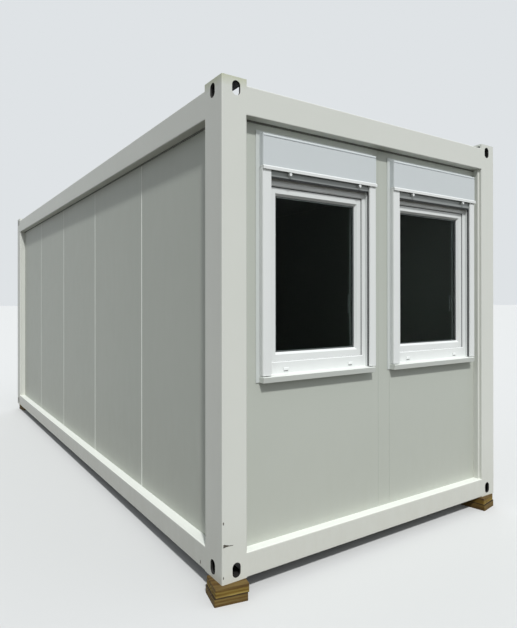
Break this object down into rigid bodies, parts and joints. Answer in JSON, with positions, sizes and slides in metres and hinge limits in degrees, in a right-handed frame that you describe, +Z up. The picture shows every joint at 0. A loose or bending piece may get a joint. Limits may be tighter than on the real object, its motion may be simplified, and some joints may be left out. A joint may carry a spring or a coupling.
{
  "type": "shipping container cabin",
  "caption": "Steel-framed site cabin with insulated panel walls, a plain door, windows with roller shutters at one end, hollow corner castings, on timber pads.",
  "frame": {"origin": "centre of the footprint, on the ground under the timber pads", "axes": "+Z up, +Y along the cabin's length from the window end to the door end, +X across it; the window end faces -Y"},
  "size_m": [2.5384, 6.1676, 2.784],
  "materials": {
    "frame_paint": "satin grey-white enamel",
    "wall_panel": "matt coil-coated sheet",
    "window_pvc": "extruded white PVC",
    "sill_sheet": "matt coil-coated sheet",
    "shutter_housing": "extruded pale grey PVC",
    "shutter_slat": "painted extrusion",
    "pane": "clear double glazing",
    "door_steel": "satin grey-white enamel",
    "handle": "brushed",
    "deck_board": "sealed floor board",
    "galvanised": "hot-dip galvanised",
    "ceiling_board": "white faced board",
    "timber": "sawn, impregnated softwood"
  },
  "bodies": {
    "root": {"casting_bottom_front_left": "frame_paint", "casting_bottom_front_right": "frame_paint", "casting_bottom_rear_left": "frame_paint", "casting_bottom_rear_right": "frame_paint", "casting_top_front_left": "frame_paint", "casting_top_front_right": "frame_paint", "casting_top_rear_left": "frame_paint", "casting_top_rear_right": "frame_paint", "ceiling": "ceiling_board", "corner_post_front_left": "frame_paint", "corner_post_front_right": "frame_paint", "corner_post_rear_left": "frame_paint", "corner_post_rear_right": "frame_paint", "cover_strips": "shutter_housing", "door_frame": "door_steel", "door_handle": "handle", "door_hinges": "door_steel", "door_leaf": "door_steel", "floor_cross_beams": "galvanised", "floor_deck": "deck_board", "floor_rail_front": "frame_paint", "floor_rail_left": "frame_paint", "floor_rail_rear": "frame_paint", "floor_rail_right": "frame_paint", "front_fillers": "wall_panel", "left_wall_panels": "wall_panel", "rear_door_panel": "wall_panel", "rear_wall_panel": "wall_panel", "right_wall_panels": "wall_panel", "roof_rail_front": "frame_paint", "roof_rail_left": "frame_paint", "roof_rail_rear": "frame_paint", "roof_rail_right": "frame_paint", "roof_sheet": "galvanised", "shutter_boxes": "shutter_housing", "shutter_curtains": "shutter_slat", "shutter_guides": "window_pvc", "timber_pads_lower": "timber", "timber_pads_upper": "timber", "window_frame_left": "window_pvc", "window_frame_right": "window_pvc", "window_panel_left": "wall_panel", "window_panel_right": "wall_panel", "window_panes": "pane", "window_sash_left": "window_pvc", "window_sash_right": "window_pvc", "window_sills": "sill_sheet"}
  },
  "joints": []
}
